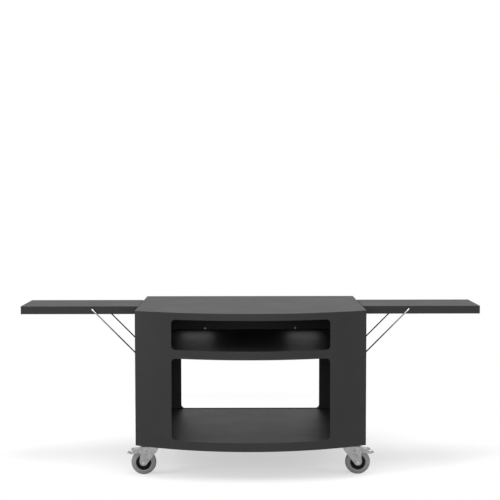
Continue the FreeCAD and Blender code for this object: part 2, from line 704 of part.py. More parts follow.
def make_rim(label, side, y):
    body = place_beside(new_body(label), side, SWIVEL_X, y)
    section = new_sketch(body, "XY", x="caster_trail", z=AXLE_HEIGHT)
    bore = "(axle_diameter / 2 + running_gap)"
    hub = "(hub_diameter / 2)"
    ring = "(rim_diameter / 2 - rim_wall)"
    corners = [
        (bore, "-hub_width / 2"), (hub, "-hub_width / 2"), (hub, "-rim_web / 2"),
        (ring, "-rim_web / 2"), (ring, "-rim_width / 2"), ("rim_diameter / 2", "-rim_width / 2"),
        ("rim_diameter / 2", "rim_width / 2"), (ring, "rim_width / 2"), (ring, "rim_web / 2"),
        (hub, "rim_web / 2"), (hub, "hub_width / 2"), (bore, "hub_width / 2"),
    ]
    draw_outline(section, corners)
    turned = body.newObject("PartDesign::Revolution", body.Name + "_revolution")
    turned.Profile = section
    turned.ReferenceAxis = (section, ["V_Axis"])
    turned.Angle = 360
    rib_sketch = new_sketch(body, "XY", x="caster_trail", z=AXLE_HEIGHT)
    half = "(rim_width / 2 - rim_rib / 2)"
    draw_box(rib_sketch, f"{hub} - seam", f"{ring} + seam", f"-{half}", half)
    rib = pad(body, rib_sketch, "rim_rib", "Symmetric")
    ribs = body.newObject("PartDesign::PolarPattern", body.Name + "_ribs")
    ribs.Originals = [rib]
    ribs.Axis = (rib_sketch, ["V_Axis"])
    ribs.Angle = 360
    ribs.setExpression("Occurrences", bound("rim_ribs"))
    body.Tip = ribs


def make_tyre(label, side, y):
    body = place_beside(new_body(label), side, SWIVEL_X, y)
    section = new_sketch(body, "XY", x="caster_trail", z=AXLE_HEIGHT)
    seat = "(rim_diameter / 2 + running_gap)"
    tread = f"{AXLE_HEIGHT}"
    corners = [
        (seat, "-tyre_width / 2"), (f"{tread} - tyre_shoulder", "-tyre_width / 2"),
        (tread, "-tyre_width / 2 + tyre_shoulder"), (tread, "tyre_width / 2 - tyre_shoulder"),
        (f"{tread} - tyre_shoulder", "tyre_width / 2"), (seat, "tyre_width / 2"),
    ]
    draw_outline(section, corners, {1: ("tyre_shoulder", 1), 3: ("tyre_shoulder", 1)})
    turned = body.newObject("PartDesign::Revolution", body.Name + "_revolution")
    turned.Profile = section
    turned.ReferenceAxis = (section, ["V_Axis"])
    turned.Angle = 360


def make_brake_pedal(label, side, y):
    # Two cheeks inside the fork, an upper and a lower leaf between them, and a shoe over the tread
    body = place_beside(new_body(label), side, SWIVEL_X, y)

    def at(reach, rise):
        return (f"caster_trail + {reach}", f"{PEDAL_PIN_Z} + {rise}")

    upper = "pedal_upper_reach"
    lower = "pedal_lower_reach"
    profile = new_sketch(body, "XZ")
    draw_outline(profile, [
        at("-8", "-5.5"), at("14", "-22"), at("44", "-23"), at("59", "-26.5"), at(lower, "-19.5"),
        at(f"{lower} - 1", "-16.5"), at("61", "-22"), at("46", "-11"), at(upper, "-5"),
        at(upper, "-2.4"), at("40", "0.6"), at("10", "6.5"), at("-8", "6"),
    ])
    outer_y = f"({FORK_INSIDE} - pedal_play)"
    pad(body, profile, f"2 * {outer_y}", "Symmetric")
    hollow = new_sketch(body, "XZ")
    draw_outline(hollow, [
        at("-12", "-32"), at("63", "-32"), at("63", "-18"), at("49", "-12"), at("52", "-5.5"),
        at("40", "0.6 - pedal_sheet"), at("10", "6.5 - pedal_sheet"), at("-12", "6 - pedal_sheet"),
    ])
    cut(body, hollow, f"2 * ({outer_y} - pedal_sheet)")
    shoe = new_sketch(body, "XZ")
    draw_box(shoe, "caster_trail + 4", "caster_trail + 16", f"{PEDAL_PIN_Z} - 3", f"{PEDAL_PIN_Z} + 5")
    pad(body, shoe, "tyre_width - 2 * tyre_shoulder", "Symmetric")
    bore = new_sketch(body, "XZ")
    draw_circle(bore, PEDAL_PIN_X, PEDAL_PIN_Z, "pedal_pin_diameter / 2 + running_gap")
    cut(body, bore)


def make_pedal_pin(label, side, y):
    reach = f"({FORK_OUTSIDE} + pedal_pin_overrun)"
    pin = cylinder(label, "pedal_pin_diameter / 2", f"2 * {reach}",
                   f"{side} * ({SWIVEL_X} + {PEDAL_PIN_X})", f"{y} + {reach}", PEDAL_PIN_Z, "90", (1, 0, 0))
    pin.Label = label
    nodes.append(pin)


def make_shelf(label, side):
    # Pan: a skin, four sides and a return all round below
    body = place_beside(new_body(label), side, HALF_WIDTH, SHELF_MIDDLE)
    half = "shelf_width / 2"
    plan = new_sketch(body, "XY", z=SHELF_UNDERSIDE)
    draw_rounded_box(plan, "shelf_gap", SHELF_END, f"-{half}", half, "shelf_corner")
    pad(body, plan, "shelf_thickness")
    mouth = new_sketch(body, "XY", z=SHELF_UNDERSIDE)
    draw_box(mouth, "shelf_gap + shelf_return", f"{SHELF_END} - shelf_return",
             f"-{half} + shelf_return", f"{half} - shelf_return")
    cut(body, mouth, "shelf_thickness - shelf_sheet", "One side", True)
    hollow = new_sketch(body, "XY", z=f"{SHELF_UNDERSIDE} + shelf_sheet")
    draw_rounded_box(hollow, "shelf_gap + shelf_sheet", f"{SHELF_END} - shelf_sheet",
                     f"-{half} + shelf_sheet", f"{half} - shelf_sheet", "(shelf_corner - shelf_sheet)")
    cut(body, hollow, "shelf_thickness - 2 * shelf_sheet", "One side", True)
    holes = new_sketch(body, "XZ")
    draw_circle(holes, "stay_pivot_reach", STAY_PIVOT_Z, "stay_diameter / 2 + running_gap")
    cut(body, holes)


def make_shelf_rib(label, side):
    body = place_beside(new_body(label), side, HALF_WIDTH, SHELF_MIDDLE)
    start = "(shelf_gap + shelf_return)"
    profile = new_sketch(body, "YZ", z=start)
    draw_channel(profile, "0", "shelf_rib_width", "(table_height - shelf_sheet)",
                 "shelf_rib_depth", "shelf_rib_sheet")
    pad(body, profile, "shelf_length - 2 * shelf_return")


def make_hinges(prefix, side):
    # Each hinge: two knuckles on the wall's leaf, one between them on the shelf's leaf, and a pin
    third = "(hinge_length / 3)"
    neck_z = f"({HINGE_Z} - hinge_barrel / 2 + hinge_play)"
    wall_leaves = []
    shelf_leaves = []
    pins = []
    lay = {"angle": "90", "axis": (1, 0, 0)}
    for number, along in enumerate((-1, 1), 1):
        name = f"{prefix}_hinge_{number}"
        start = f"({along} * hinge_spacing / 2 - hinge_length / 2)"
        pieces = [block(name + "_wall_plate", "hinge_leaf_sheet", "hinge_length", "hinge_wall_leaf",
                        "0", start, f"{neck_z} + hinge_leaf_sheet - hinge_wall_leaf")]
        for turn in (0, 2):
            low = f"{start} + {turn} * {third}"
            pieces.append(cylinder(f"{name}_knuckle_{turn}", "hinge_barrel / 2", third,
                                   "hinge_offset", f"{low} + {third}", HINGE_Z, **lay))
            pieces.append(block(f"{name}_neck_{turn}", "hinge_offset", third, "hinge_leaf_sheet",
                                "0", low, neck_z))
        bore = cylinder(name + "_wall_bore", "hinge_pin_diameter / 2 + running_gap", "hinge_length",
                        "hinge_offset", f"{start} + hinge_length", HINGE_Z, **lay)
        wall_leaves.append(subtract(name + "_wall_leaf", fuse(name + "_wall_blank", pieces), bore))

        inner = f"({start} + {third} + hinge_play)"
        width = f"({third} - 2 * hinge_play)"
        leaf_start = "(hinge_offset + hinge_barrel / 2 + hinge_play)"
        leaf_z = f"({SHELF_UNDERSIDE} - hinge_leaf_sheet)"
        plate = block(name + "_shelf_plate", "hinge_shelf_leaf", "hinge_length", "hinge_leaf_sheet",
                      leaf_start, start, leaf_z)
        neck = block(name + "_shelf_neck", f"{leaf_start} - hinge_offset", width, "hinge_leaf_sheet",
                     "hinge_offset", inner, leaf_z)
        knuckle = cylinder(name + "_knuckle_1", "hinge_barrel / 2", width,
                           "hinge_offset", f"{inner} + {width}", HINGE_Z, **lay)
        shelf_bore = cylinder(name + "_shelf_bore", "hinge_pin_diameter / 2 + running_gap", "hinge_length",
                              "hinge_offset", f"{start} + hinge_length", HINGE_Z, **lay)
        blank = fuse(name + "_shelf_blank", [plate, neck, knuckle])
        shelf_leaves.append(subtract(name + "_shelf_leaf", blank, shelf_bore))

        pins.append(cylinder(name + "_pin", "hinge_pin_diameter / 2", "hinge_length",
                             "hinge_offset", f"{start} + hinge_length", HINGE_Z, **lay))
    for label, pieces in (("wall_leaves", wall_leaves), ("shelf_leaves", shelf_leaves), ("pins", pins)):
        place_beside(group(f"{prefix}_hinge_{label}", pieces), side, HALF_WIDTH, SHELF_MIDDLE)


def place_stay(thing, side):
    # Lays a flat piece, made with the pivot at its origin and the bar along +X, from pivot to hooks
    fall = f"atan({STAY_FALL} / {STAY_RUN})"
    slope = fall if side == LEFT else f"(180 deg - {fall})"
    pivot_x = f"{side} * ({HALF_WIDTH} + stay_pivot_reach)"
    return place(thing, pivot_x, SHELF_MIDDLE, STAY_PIVOT_Z, slope, (0, 1, 0))


def make_stay(label, side):
    # One rod bent to a U, with its two ends turned in through the pan's sides
    body = place_stay(new_body(label), side)
    tail = f"({STAY_TURN} - stay_side_gap - stay_tail)"
    corners = [
        ("0", tail), ("0", STAY_TURN), ("stay_bend", STAY_LEG_Y),
        (f"{STAY_LENGTH} - stay_foot_bend", STAY_LEG_Y), (STAY_LENGTH, f"{STAY_LEG_Y} - stay_foot_bend"),
        (STAY_LENGTH, f"-{STAY_LEG_Y} + stay_foot_bend"), (f"{STAY_LENGTH} - stay_foot_bend", f"-{STAY_LEG_Y}"),
        ("stay_bend", f"-{STAY_LEG_Y}"), ("0", f"-{STAY_TURN}"), ("0", f"-{tail}"),
    ]
    path = new_sketch(body, "XY")
    bends = {1: ("stay_bend", -1), 3: ("stay_foot_bend", -1), 5: ("stay_foot_bend", -1), 7: ("stay_bend", -1)}
    draw_outline(path, corners, bends, closed=False)
    section = new_sketch(body, "XZ", z=f"-{tail}")
    draw_circle(section, "0", "0", "stay_diameter / 2")
    rod = body.newObject("PartDesign::AdditivePipe", body.Name + "_pipe")
    rod.Profile = section
    rod.Spine = path


def make_stay_washers(label, side):
    seat = "(shelf_width / 2 - shelf_sheet - seam)"
    washers = []
    for end, high in (("front", f"-{seat} + washer_sheet"), ("rear", seat)):
        name = f"{label}_{end}"
        disc = cylinder(name + "_disc", "washer_diameter / 2", "washer_sheet", "0", high, "0", "90", (1, 0, 0))
        bore = cylinder(name + "_bore", "stay_diameter / 2 + running_gap", "washer_sheet",
                        "0", high, "0", "90", (1, 0, 0))
        washers.append(subtract(name, disc, bore))
    place_stay(group(label, washers), side)


def make_stay_hooks():
    # Hooks that the stays' bars rest in: a plate on the wall, a jaw under the bar and a short lip
    body = new_body("stay_hooks")
    jaw = f"({STAY_FOOT_Z} - stay_diameter / 2 - seam)"
    lip = f"({STAY_FOOT_X} + stay_diameter / 2 + seam)"
    for along in (-1, 1):
        middle = f"({SHELF_MIDDLE} + {along} * hook_spacing / 2)"
        for side in (LEFT, RIGHT):
            sketch = new_sketch(body, "XZ", z=f"-{middle} - hook_width / 2")
            steps = [
                ("0", f"{jaw} - hook_sheet"), (f"{lip} + hook_sheet", f"{jaw} - hook_sheet"),
                (f"{lip} + hook_sheet", f"{STAY_FOOT_Z} + hook_lip"), (lip, f"{STAY_FOOT_Z} + hook_lip"),
                (lip, jaw), ("hook_sheet", jaw),
                ("hook_sheet", f"{STAY_FOOT_Z} + hook_tail"), ("0", f"{STAY_FOOT_Z} + hook_tail"),
            ]
            draw_outline(sketch, [(f"{side} * ({HALF_WIDTH} + {out})", height) for out, height in steps])
            pad(body, sketch, "hook_width")


def make_caster(name, side, y, braked):
    make_caster_plate(f"{name}_caster_plate", side, y)
    make_fork(f"{name}_fork", side, y, braked)
    make_axle_bolt(f"{name}_axle_bolt", side, y)
    make_rim(f"{name}_rim", side, y)
    make_tyre(f"{name}_tyre", side, y)
    if braked:
        make_brake_pedal(f"{name}_brake_pedal", side, y)
        make_pedal_pin(f"{name}_pedal_pin", side, y)


def make_side_shelf(prefix, side):
    make_shelf(f"{prefix}_shelf", side)
    make_shelf_rib(f"{prefix}_shelf_rib", side)
    make_hinges(prefix, side)
    make_stay(f"{prefix}_stay", side)
    make_stay_washers(f"{prefix}_stay_washers", side)


make_table_top()
make_front_panel()
make_rear_panel()
make_side_panel("left_side_panel", LEFT)
make_side_panel("right_side_panel", RIGHT)
make_top_beams()
make_floor("compartment_floor", COMPARTMENT_FLOOR_TOP)
make_floor("lower_shelf", LOWER_SHELF_TOP)
make_stiffeners("compartment_stiffeners", COMPARTMENT_FLOOR_TOP, "body_width - 2 * panel_sheet - 2 * seam")
make_stiffeners("lower_shelf_stiffeners", LOWER_SHELF_TOP, f"2 * ({SWIVEL_X} - rail_width / 2)")
make_caster_rail("left_caster_rail", LEFT)
make_caster_rail("right_caster_rail", RIGHT)
make_screws("back_wall_screws", back_screw_places(), True)
make_screws("rear_panel_screws", rear_screw_places(LEFT) + rear_screw_places(RIGHT), False)
make_stay_hooks()
make_king_pins()
make_caster_bolts()
for caster in CASTERS:
    make_caster(*caster)
make_side_shelf("left", LEFT)
make_side_shelf("right", RIGHT)

doc.recompute()
for thing in doc.Objects:
    if "Invalid" in thing.State or "Error" in thing.State:
        raise RuntimeError(f"{thing.Name} did not compute: {thing.State}")
for node in nodes:
    if node.Shape.isNull() or not node.Shape.isValid() or not node.Shape.Solids:
        raise RuntimeError(f"{node.Label} has no valid shape")

os.makedirs("parts", exist_ok=True)
for node in nodes:
    node.Shape.exportStep(f"parts/{node.Label}.step")
    print(node.Label, len(node.Shape.Solids), "solids", round(node.Shape.Volume / 1000, 2), "cm3")
print(len(nodes), "nodes")
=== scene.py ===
import json
import math

import bmesh
import bpy
from mathutils import Matrix, Vector


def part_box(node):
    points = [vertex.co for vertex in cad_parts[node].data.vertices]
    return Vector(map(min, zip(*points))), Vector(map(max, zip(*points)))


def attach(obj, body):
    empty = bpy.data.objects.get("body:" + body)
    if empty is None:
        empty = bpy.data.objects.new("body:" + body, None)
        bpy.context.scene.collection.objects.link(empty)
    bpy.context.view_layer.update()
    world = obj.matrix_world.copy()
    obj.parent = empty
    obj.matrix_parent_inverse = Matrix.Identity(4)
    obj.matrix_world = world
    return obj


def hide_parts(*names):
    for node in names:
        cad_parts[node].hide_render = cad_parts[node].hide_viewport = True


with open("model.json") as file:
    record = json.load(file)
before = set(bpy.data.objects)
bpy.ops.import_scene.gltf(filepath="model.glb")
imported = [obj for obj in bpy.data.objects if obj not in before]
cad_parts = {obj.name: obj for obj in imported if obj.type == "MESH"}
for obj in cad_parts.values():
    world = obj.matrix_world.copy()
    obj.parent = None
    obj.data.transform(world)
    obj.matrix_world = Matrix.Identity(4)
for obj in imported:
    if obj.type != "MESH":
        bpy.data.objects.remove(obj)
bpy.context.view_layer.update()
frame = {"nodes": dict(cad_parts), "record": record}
nodes = frame["nodes"]
scene = bpy.context.scene
corners = ("front_left", "front_right", "rear_left", "rear_right")
sides = ("left", "right")
print("frame loaded with", len(nodes), "nodes")


def outward(name):  # -1 on the left half of the table, 1 on the right
    return -1 if "left" in name else 1


def nodeMiddle(name):
    low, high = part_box(name)
    return (Vector(low) + Vector(high)) / 2


# Helpers for materials

def newNode(tree, kind, values=None, links=None):
    node = tree.nodes.new("ShaderNode" + kind)
    for key, value in (values or {}).items():
        if isinstance(key, str) and hasattr(node, key):
            setattr(node, key, value)
        else:
            node.inputs[key].default_value = value
    for key, source in (links or {}).items():
        tree.links.new(source, node.inputs[key])
    return node


def startMaterial(name):
    material = bpy.data.materials.new(name)
    material.use_nodes = True
    tree = material.node_tree
    shader = tree.nodes["Principled BSDF"]
    place = newNode(tree, "TexCoord").outputs["Object"]
    return material, tree, shader, place


def noiseAt(tree, place, scale, detail=3.0, roughness=0.55, stretch=None):  # scale in cells per metre
    if stretch:
        place = newNode(tree, "Mapping", {"Scale": stretch}, {"Vector": place}).outputs["Vector"]
    values = {"Scale": scale, "Detail": detail, "Roughness": roughness}
    return newNode(tree, "TexNoise", values, {"Vector": place}).outputs["Fac"]


def ramp(tree, factor, low, high, lowValue, highValue):
    values = {"From Min": low, "From Max": high, "To Min": lowValue, "To Max": highValue}
    return newNode(tree, "MapRange", values, {"Value": factor}).outputs["Result"]


def combine(tree, operation, first, second):
    return newNode(tree, "Math", {"operation": operation}, {0: first, 1: second}).outputs["Value"]


def axesOf(tree, vector):
    return newNode(tree, "SeparateXYZ", {}, {"Vector": vector}).outputs


def blendColour(tree, factor, first, second):
    mix = newNode(tree, "Mix", {"data_type": "RGBA"}, {"Factor": factor})
    for socket, colour in ((mix.inputs[6], first), (mix.inputs[7], second)):
        if isinstance(colour, bpy.types.NodeSocket):
            tree.links.new(colour, socket)
        else:
            socket.default_value = (*colour, 1)
    return mix.outputs[2]


def tint(tree, factor, spread, first, second):  # from the first colour to a share of the second
    start, full, share = spread
    return blendColour(tree, ramp(tree, factor, start, full, 0, share), first, second)


edgeWear = {
    "samples": 4,
    "angles": (0.99, 0.86),  # cosines between flat and rounded normal where wear starts and is full
}


def edgeMask(tree, radius):  # 1 along worn edges, 0 on flats
    values = {"samples": edgeWear["samples"], "Radius": radius}
    rounded = newNode(tree, "Bevel", values).outputs["Normal"]
    flat = newNode(tree, "NewGeometry").outputs["Normal"]
    dot = newNode(tree, "VectorMath", {"operation": "DOT_PRODUCT"}, {0: rounded, 1: flat})
    return ramp(tree, dot.outputs["Value"], *edgeWear["angles"], 0.0, 1.0)


def wornEdges(tree, colour, values):
    width, share = values["edge"]
    return tint(tree, edgeMask(tree, width), (0, 1, share), colour, values["worn"])


def linkRoughness(tree, shader, noise, values, start=0.3, full=0.7):
    rough = ramp(tree, noise, start, full, *values["roughness"])
    tree.links.new(rough, shader.inputs["Roughness"])


def addBumps(tree, shader, layers):  # each layer: a height socket, its depth in metres and its strength
    normal = None
    for height, distance, strength in layers:
        links = {"Height": height}
        if normal:
            links["Normal"] = normal
        values = {"Distance": distance, "Strength": strength}
        normal = newNode(tree, "Bump", values, links).outputs["Normal"]
    tree.links.new(normal, shader.inputs["Normal"])


# Finishes. A noise is given by its cells per metre, detail and roughness, a bump by its depth in metres
# and strength, an edge by its width in metres and share. A spread is the noise at which a colour starts
# and is full, and its share. A ramp is two noise values and what they become.

powderCoat = {
    "colour": (0.0140, 0.0140, 0.0142),
    "pale": (0.0158, 0.0158, 0.0160),  # soft patches where the coat lies thicker
    "patches": (5.5, 4),
    "paleSpread": (0.35, 0.68, 1),
    "dust": (0.070, 0.069, 0.067),
    "dustAmount": 0.05,
    "dustLevel": 0.75,  # upward part of a face's normal from which dust lies on it
    "drifts": (13, 5, 0.65),
    "driftRamp": (0.42, 0.70, 0.25, 1.0),
    "worn": (0.036, 0.036, 0.036),  # thin coat along the edges
    "rub": (90, 4, 0.7),
    "rubRamp": (0.44, 0.62, 0.1, 1.0),
    "edgeWidth": 0.0016,
    "bumps": [  # slow wave, orange peel, fine grain
        ((38, 2, 0.4), 0.0003, 0.10),
        ((780, 2, 0.4), 0.00012, 0.45),
        ((2600, 1, 0.3), 0.00003, 0.25),
    ],
    "roughness": (0.47, 0.515),
    "shine": 0.14,
}


def makePowderCoat(name, values):
    material, tree, shader, place = startMaterial(name)
    patches = noiseAt(tree, place, *values["patches"])
    colour = tint(tree, patches, values["paleSpread"], values["colour"], values["pale"])
    up = axesOf(tree, newNode(tree, "NewGeometry").outputs["Normal"])["Z"]
    lying = ramp(tree, up, values["dustLevel"], 1.0, 0.0, values["dustAmount"])
    drift = ramp(tree, noiseAt(tree, place, *values["drifts"]), *values["driftRamp"])
    colour = blendColour(tree, combine(tree, "MULTIPLY", lying, drift), colour, values["dust"])
    rub = ramp(tree, noiseAt(tree, place, *values["rub"]), *values["rubRamp"])
    wear = combine(tree, "MULTIPLY", edgeMask(tree, values["edgeWidth"]), rub)
    colour = blendColour(tree, wear, colour, values["worn"])
    tree.links.new(colour, shader.inputs["Base Color"])
    linkRoughness(tree, shader, patches, values)
    shader.inputs["Specular IOR Level"].default_value = values["shine"]
    addBumps(tree, shader, [(noiseAt(tree, place, *noise), *bump) for noise, *bump in values["bumps"]])
    return material


zincPlate = {
    "colour": (0.22, 0.22, 0.219),
    "bright": (0.37, 0.37, 0.368),
    "crystals": 95,  # per metre
    "brightSpread": (0, 1, 0.3),
    "stain": (0.10, 0.099, 0.096),
    "stains": (42, 5, 0.65),
    "stainSpread": (0.52, 0.72, 0.7),
    "worn": (0.55, 0.55, 0.545),
    "edge": (0.0009, 0.5),
    "grain": (260, 3),
    "grainBump": (0.0001, 0.2),
    "crystalBump": (0.00002, 0.3),
    "roughness": (0.13, 0.26),
}


def makeZincPlate(name, values):
    material, tree, shader, place = startMaterial(name)
    cells = newNode(tree, "TexVoronoi", {"Scale": values["crystals"]}, {"Vector": place})
    crystal = newNode(tree, "SeparateColor", {}, {"Color": cells.outputs["Color"]}).outputs["Red"]
    stains = noiseAt(tree, place, *values["stains"])
    colour = tint(tree, crystal, values["brightSpread"], values["colour"], values["bright"])
    colour = tint(tree, stains, values["stainSpread"], colour, values["stain"])
    colour = wornEdges(tree, colour, values)
    tree.links.new(colour, shader.inputs["Base Color"])
    linkRoughness(tree, shader, stains, values)
    shader.inputs["Metallic"].default_value = 1
    grain = noiseAt(tree, place, *values["grain"])
    addBumps(tree, shader, [(grain, *values["grainBump"]), (crystal, *values["crystalBump"])])
    return material


fastenerSteel = {
    "colour": (0.36, 0.36, 0.357),
    "dull": (0.20, 0.199, 0.195),
    "blotches": (210, 4, 0.6),
    "dullSpread": (0.4, 0.68, 0.9),
    "worn": (0.60, 0.60, 0.595),
    "edge": (0.0005, 0.6),
    "grain": (900, 2),
    "grainBump": (0.00004, 0.3),
    "roughness": (0.28, 0.42),
}


def makeFastenerSteel(name, values):
    material, tree, shader, place = startMaterial(name)
    blotches = noiseAt(tree, place, *values["blotches"])
    colour = tint(tree, blotches, values["dullSpread"], values["colour"], values["dull"])
    colour = wornEdges(tree, colour, values)
    tree.links.new(colour, shader.inputs["Base Color"])
    linkRoughness(tree, shader, blotches, values)
    shader.inputs["Metallic"].default_value = 1
    addBumps(tree, shader, [(noiseAt(tree, place, *values["grain"]), *values["grainBump"])])
    return material


drawnRod = {
    "dull": (0.040, 0.040, 0.040),
    "paintedHighlight": (0.60, 0.60, 0.60),
    "pivot": (0.780, 0.815),  # heights in metres between which a full painted highlight lies on the rod, near the pivot bend
    "upperHighlight": (0.67, 0.77),  # heights in metres over which a weaker painted highlight lies along the rod
    "upperHighlightShare": 0.26,
    "legs": (0.20, -0.05),  # rear and front leg along Y, metres
    "rearHighlightShare": 0.05,  # how much of the painted highlight the rear leg keeps, so the rear leg is painted in shade
    "streaks": (60, 3, 0.5),
    "streakStretch": (1, 6, 1),
    "streakRamp": (0.35, 0.65, 0.8, 1.0),
    "scuff": (0.035, 0.035, 0.035),
    "scuffs": (480, 3, 0.6),
    "scuffSpread": (0.60, 0.74, 0.5),
    "scuffBump": (0.00004, 0.3),
    "glance": (0.22, 0.22, 0.22),  # tint at glancing angles
    "roughness": (0.26, 0.38),
}


def makeDrawnRod(name, values):
    material, tree, shader, place = startMaterial(name)
    streaks = noiseAt(tree, place, *values["streaks"], stretch=values["streakStretch"])
    scuffs = noiseAt(tree, place, *values["scuffs"])
    axes = axesOf(tree, place)
    # painted highlight: the rod is lighter by height, most near the pivot bend, and the rear leg is
    # kept dark as painted shade; streaks break the band up
    upperHighlight = ramp(tree, axes["Z"], *values["upperHighlight"], 0, values["upperHighlightShare"])
    pivot = ramp(tree, axes["Z"], *values["pivot"], 0, 1)
    highlightMask = combine(tree, "MAXIMUM", upperHighlight, pivot)
    rear, front = values["legs"]
    leg = ramp(tree, axes["Y"], front, rear, 1, values["rearHighlightShare"])
    for factor in (leg, ramp(tree, streaks, *values["streakRamp"])):
        highlightMask = combine(tree, "MULTIPLY", highlightMask, factor)
    # blends the rod's dull colour toward the painted highlight colour
    colour = blendColour(tree, highlightMask, values["dull"], values["paintedHighlight"])
    colour = tint(tree, scuffs, values["scuffSpread"], colour, values["scuff"])
    tree.links.new(colour, shader.inputs["Base Color"])
    linkRoughness(tree, shader, scuffs, values, start=0.35)
    shader.inputs["Metallic"].default_value = 1
    shader.inputs["Specular Tint"].default_value = (*values["glance"], 1)
    addBumps(tree, shader, [(scuffs, *values["scuffBump"])])
    return material


greyRubber = {
    "colour": (0.115, 0.115, 0.115),
    "pale": (0.143, 0.143, 0.143),
    "mottle": (65, 4, 0.6),
    "paleSpread": (0.35, 0.68, 1),
    "dirt": (0.080, 0.079, 0.077),
    "specks": (150, 6, 0.7),
    "dirtSpread": (0.55, 0.72, 0.65),
    "dirtBump": (0.00015, 0.25),
    "worn": (0.20, 0.20, 0.199),
    "edge": (0.0012, 0.4),
    "pores": (1500, 2),
    "poreBump": (0.00004, 0.3),
    "roughness": (0.55, 0.72),
}


def makeGreyRubber(name, values):
    material, tree, shader, place = startMaterial(name)
    mottle = noiseAt(tree, place, *values["mottle"])
    specks = noiseAt(tree, place, *values["specks"])
    colour = tint(tree, mottle, values["paleSpread"], values["colour"], values["pale"])
    colour = tint(tree, specks, values["dirtSpread"], colour, values["dirt"])
    colour = wornEdges(tree, colour, values)
    tree.links.new(colour, shader.inputs["Base Color"])
    linkRoughness(tree, shader, mottle, values)
    pores = noiseAt(tree, place, *values["pores"])
    addBumps(tree, shader, [(specks, *values["dirtBump"]), (pores, *values["poreBump"])])
    return material


mouldedPlastic = {
    "colour": (0.0045, 0.0045, 0.0046),
    "pale": (0.0085, 0.0085, 0.0086),
    "mottle": (110, 4, 0.6),
    "paleSpread": (0.38, 0.7, 1),
    "worn": (0.028, 0.028, 0.028),
    "edge": (0.0007, 0.7),
    "grain": (1900, 2),
    "grainBump": (0.00005, 0.35),
    "roughness": (0.42, 0.58),
    "shine": 0.08,
}


def makeMouldedPlastic(name, values):
    material, tree, shader, place = startMaterial(name)
    mottle = noiseAt(tree, place, *values["mottle"])
    colour = tint(tree, mottle, values["paleSpread"], values["colour"], values["pale"])
    colour = wornEdges(tree, colour, values)
    tree.links.new(colour, shader.inputs["Base Color"])
    linkRoughness(tree, shader, mottle, values)
    shader.inputs["Specular IOR Level"].default_value = values["shine"]
    addBumps(tree, shader, [(noiseAt(tree, place, *values["grain"]), *values["grainBump"])])
    return material


materials = {
    "black_coat": makePowderCoat("blackPowderCoat", powderCoat),
    "zinc": makeZincPlate("zincPlate", zincPlate),
    "fastener_steel": makeFastenerSteel("fastenerSteel", fastenerSteel),
    "rod_steel": makeDrawnRod("drawnRod", drawnRod),
    "tyre_rubber": makeGreyRubber("greyRubber", greyRubber),
    "rim_plastic": makeMouldedPlastic("mouldedPlastic", mouldedPlastic),
}
print("materials made")


# Carried-over CAD nodes: material and softened edges

softEdges = {
    "widths": {  # metres, by material slot
        "black_coat": 0.0006,
        "zinc": 0.0004,
        "fastener_steel": 0.0005,
        "rim_plastic": 0.0006,
    },
    "segments": 2,
    "angle": 38,  # degrees from which an edge is softened
}


def dressNodes():
    slots = {part["node"]: part["material_slot"] for part in frame["record"]["subparts"]}
    for name, node in nodes.items():
        slot = slots[name]
        node.data.materials.clear()
        node.data.materials.append(materials[slot])
        if slot in softEdges["widths"]:
            edges = node.modifiers.new("softEdges", "BEVEL")
            edges.width = softEdges["widths"][slot]
            edges.segments = softEdges["segments"]
            edges.limit_method = "ANGLE"
            edges.angle_limit = math.radians(softEdges["angle"])
            edges.harden_normals = True


dressNodes()
print("nodes dressed")


# Helpers for new pieces

def addPiece(name, mesh, slot, body, smooth=40):
    piece = bpy.data.objects.new(name, mesh)
    scene.collection.objects.link(piece)
    mesh.materials.append(materials[slot])
    mesh.shade_smooth()
    mesh.set_sharp_from_angle(angle=math.radians(smooth))
    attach(piece, body)
    return piece


def finishMesh(builder, name):
    bmesh.ops.recalc_face_normals(builder, faces=builder.faces)
    mesh = bpy.data.meshes.new(name)
    builder.to_mesh(mesh)
    builder.free()
    return mesh


def lathe(profile, steps, matrix):  # profile: (along, radius) pairs round the matrix's X axis, closed
    builder = bmesh.new()
    rings = []
    for step in range(steps):
        angle = 2 * math.pi * step / steps
        ring = []
        for along, radius in profile:
            point = Vector((along, radius * math.cos(angle), radius * math.sin(angle)))
            ring.append(builder.verts.new(matrix @ point))
        rings.append(ring)
    for step, ring in enumerate(rings):
        following = rings[(step + 1) % steps]
        for index in range(len(profile)):
            other = (index + 1) % len(profile)
            builder.faces.new((ring[index], ring[other], following[other], following[index]))
    return finishMesh(builder, "lathe")


def addStack(builder, rings):  # closed skin through equal rings of points, the first and last capped
    rows = [[builder.verts.new(point) for point in ring] for ring in rings]
    for lower, upper in zip(rows, rows[1:]):
        for index in range(len(lower)):
            other = (index + 1) % len(lower)
            builder.faces.new((lower[index], lower[other], upper[other], upper[index]))
    builder.faces.new(list(reversed(rows[0])))
    builder.faces.new(rows[-1])


def frameOn(origin, out, along):  # matrix whose Z points out of a surface and whose X runs along it
    across = Vector(out).cross(Vector(along))
    matrix = Matrix((Vector(along), across, Vector(out))).transposed().to_4x4()
    return Matrix.Translation(origin) @ matrix


def arcPoints(centre, radius, start, finish, count):  # angles in degrees, ends included
    points = []
    for index in range(count):
        angle = math.radians(start + (finish - start) * index / (count - 1))
        points.append((centre[0] + radius * math.cos(angle), centre[1] + radius * math.sin(angle)))
    return points


# Tyres: rounded tread, sloping sidewall, a step beside the rim, a fine parting line

tyre = {
    "steps": 96,
    "shoulder": 0.0075,  # radius from tread to sidewall
    "shoulderPoints": 9,
    "sideTilt": 24,  # degrees by which the sidewall falls back toward the tread
    "crown": 0.0006,  # how far the tread's middle stands over its sides
    "bead": 0.0022,  # sidewall's step beside the rim
    "beadDepth": 0.0012,
    "lip": 0.003,  # from the step to the widest place of the sidewall
    "partingLine": 0.00025,
    "rimGap": 0.00007,
}


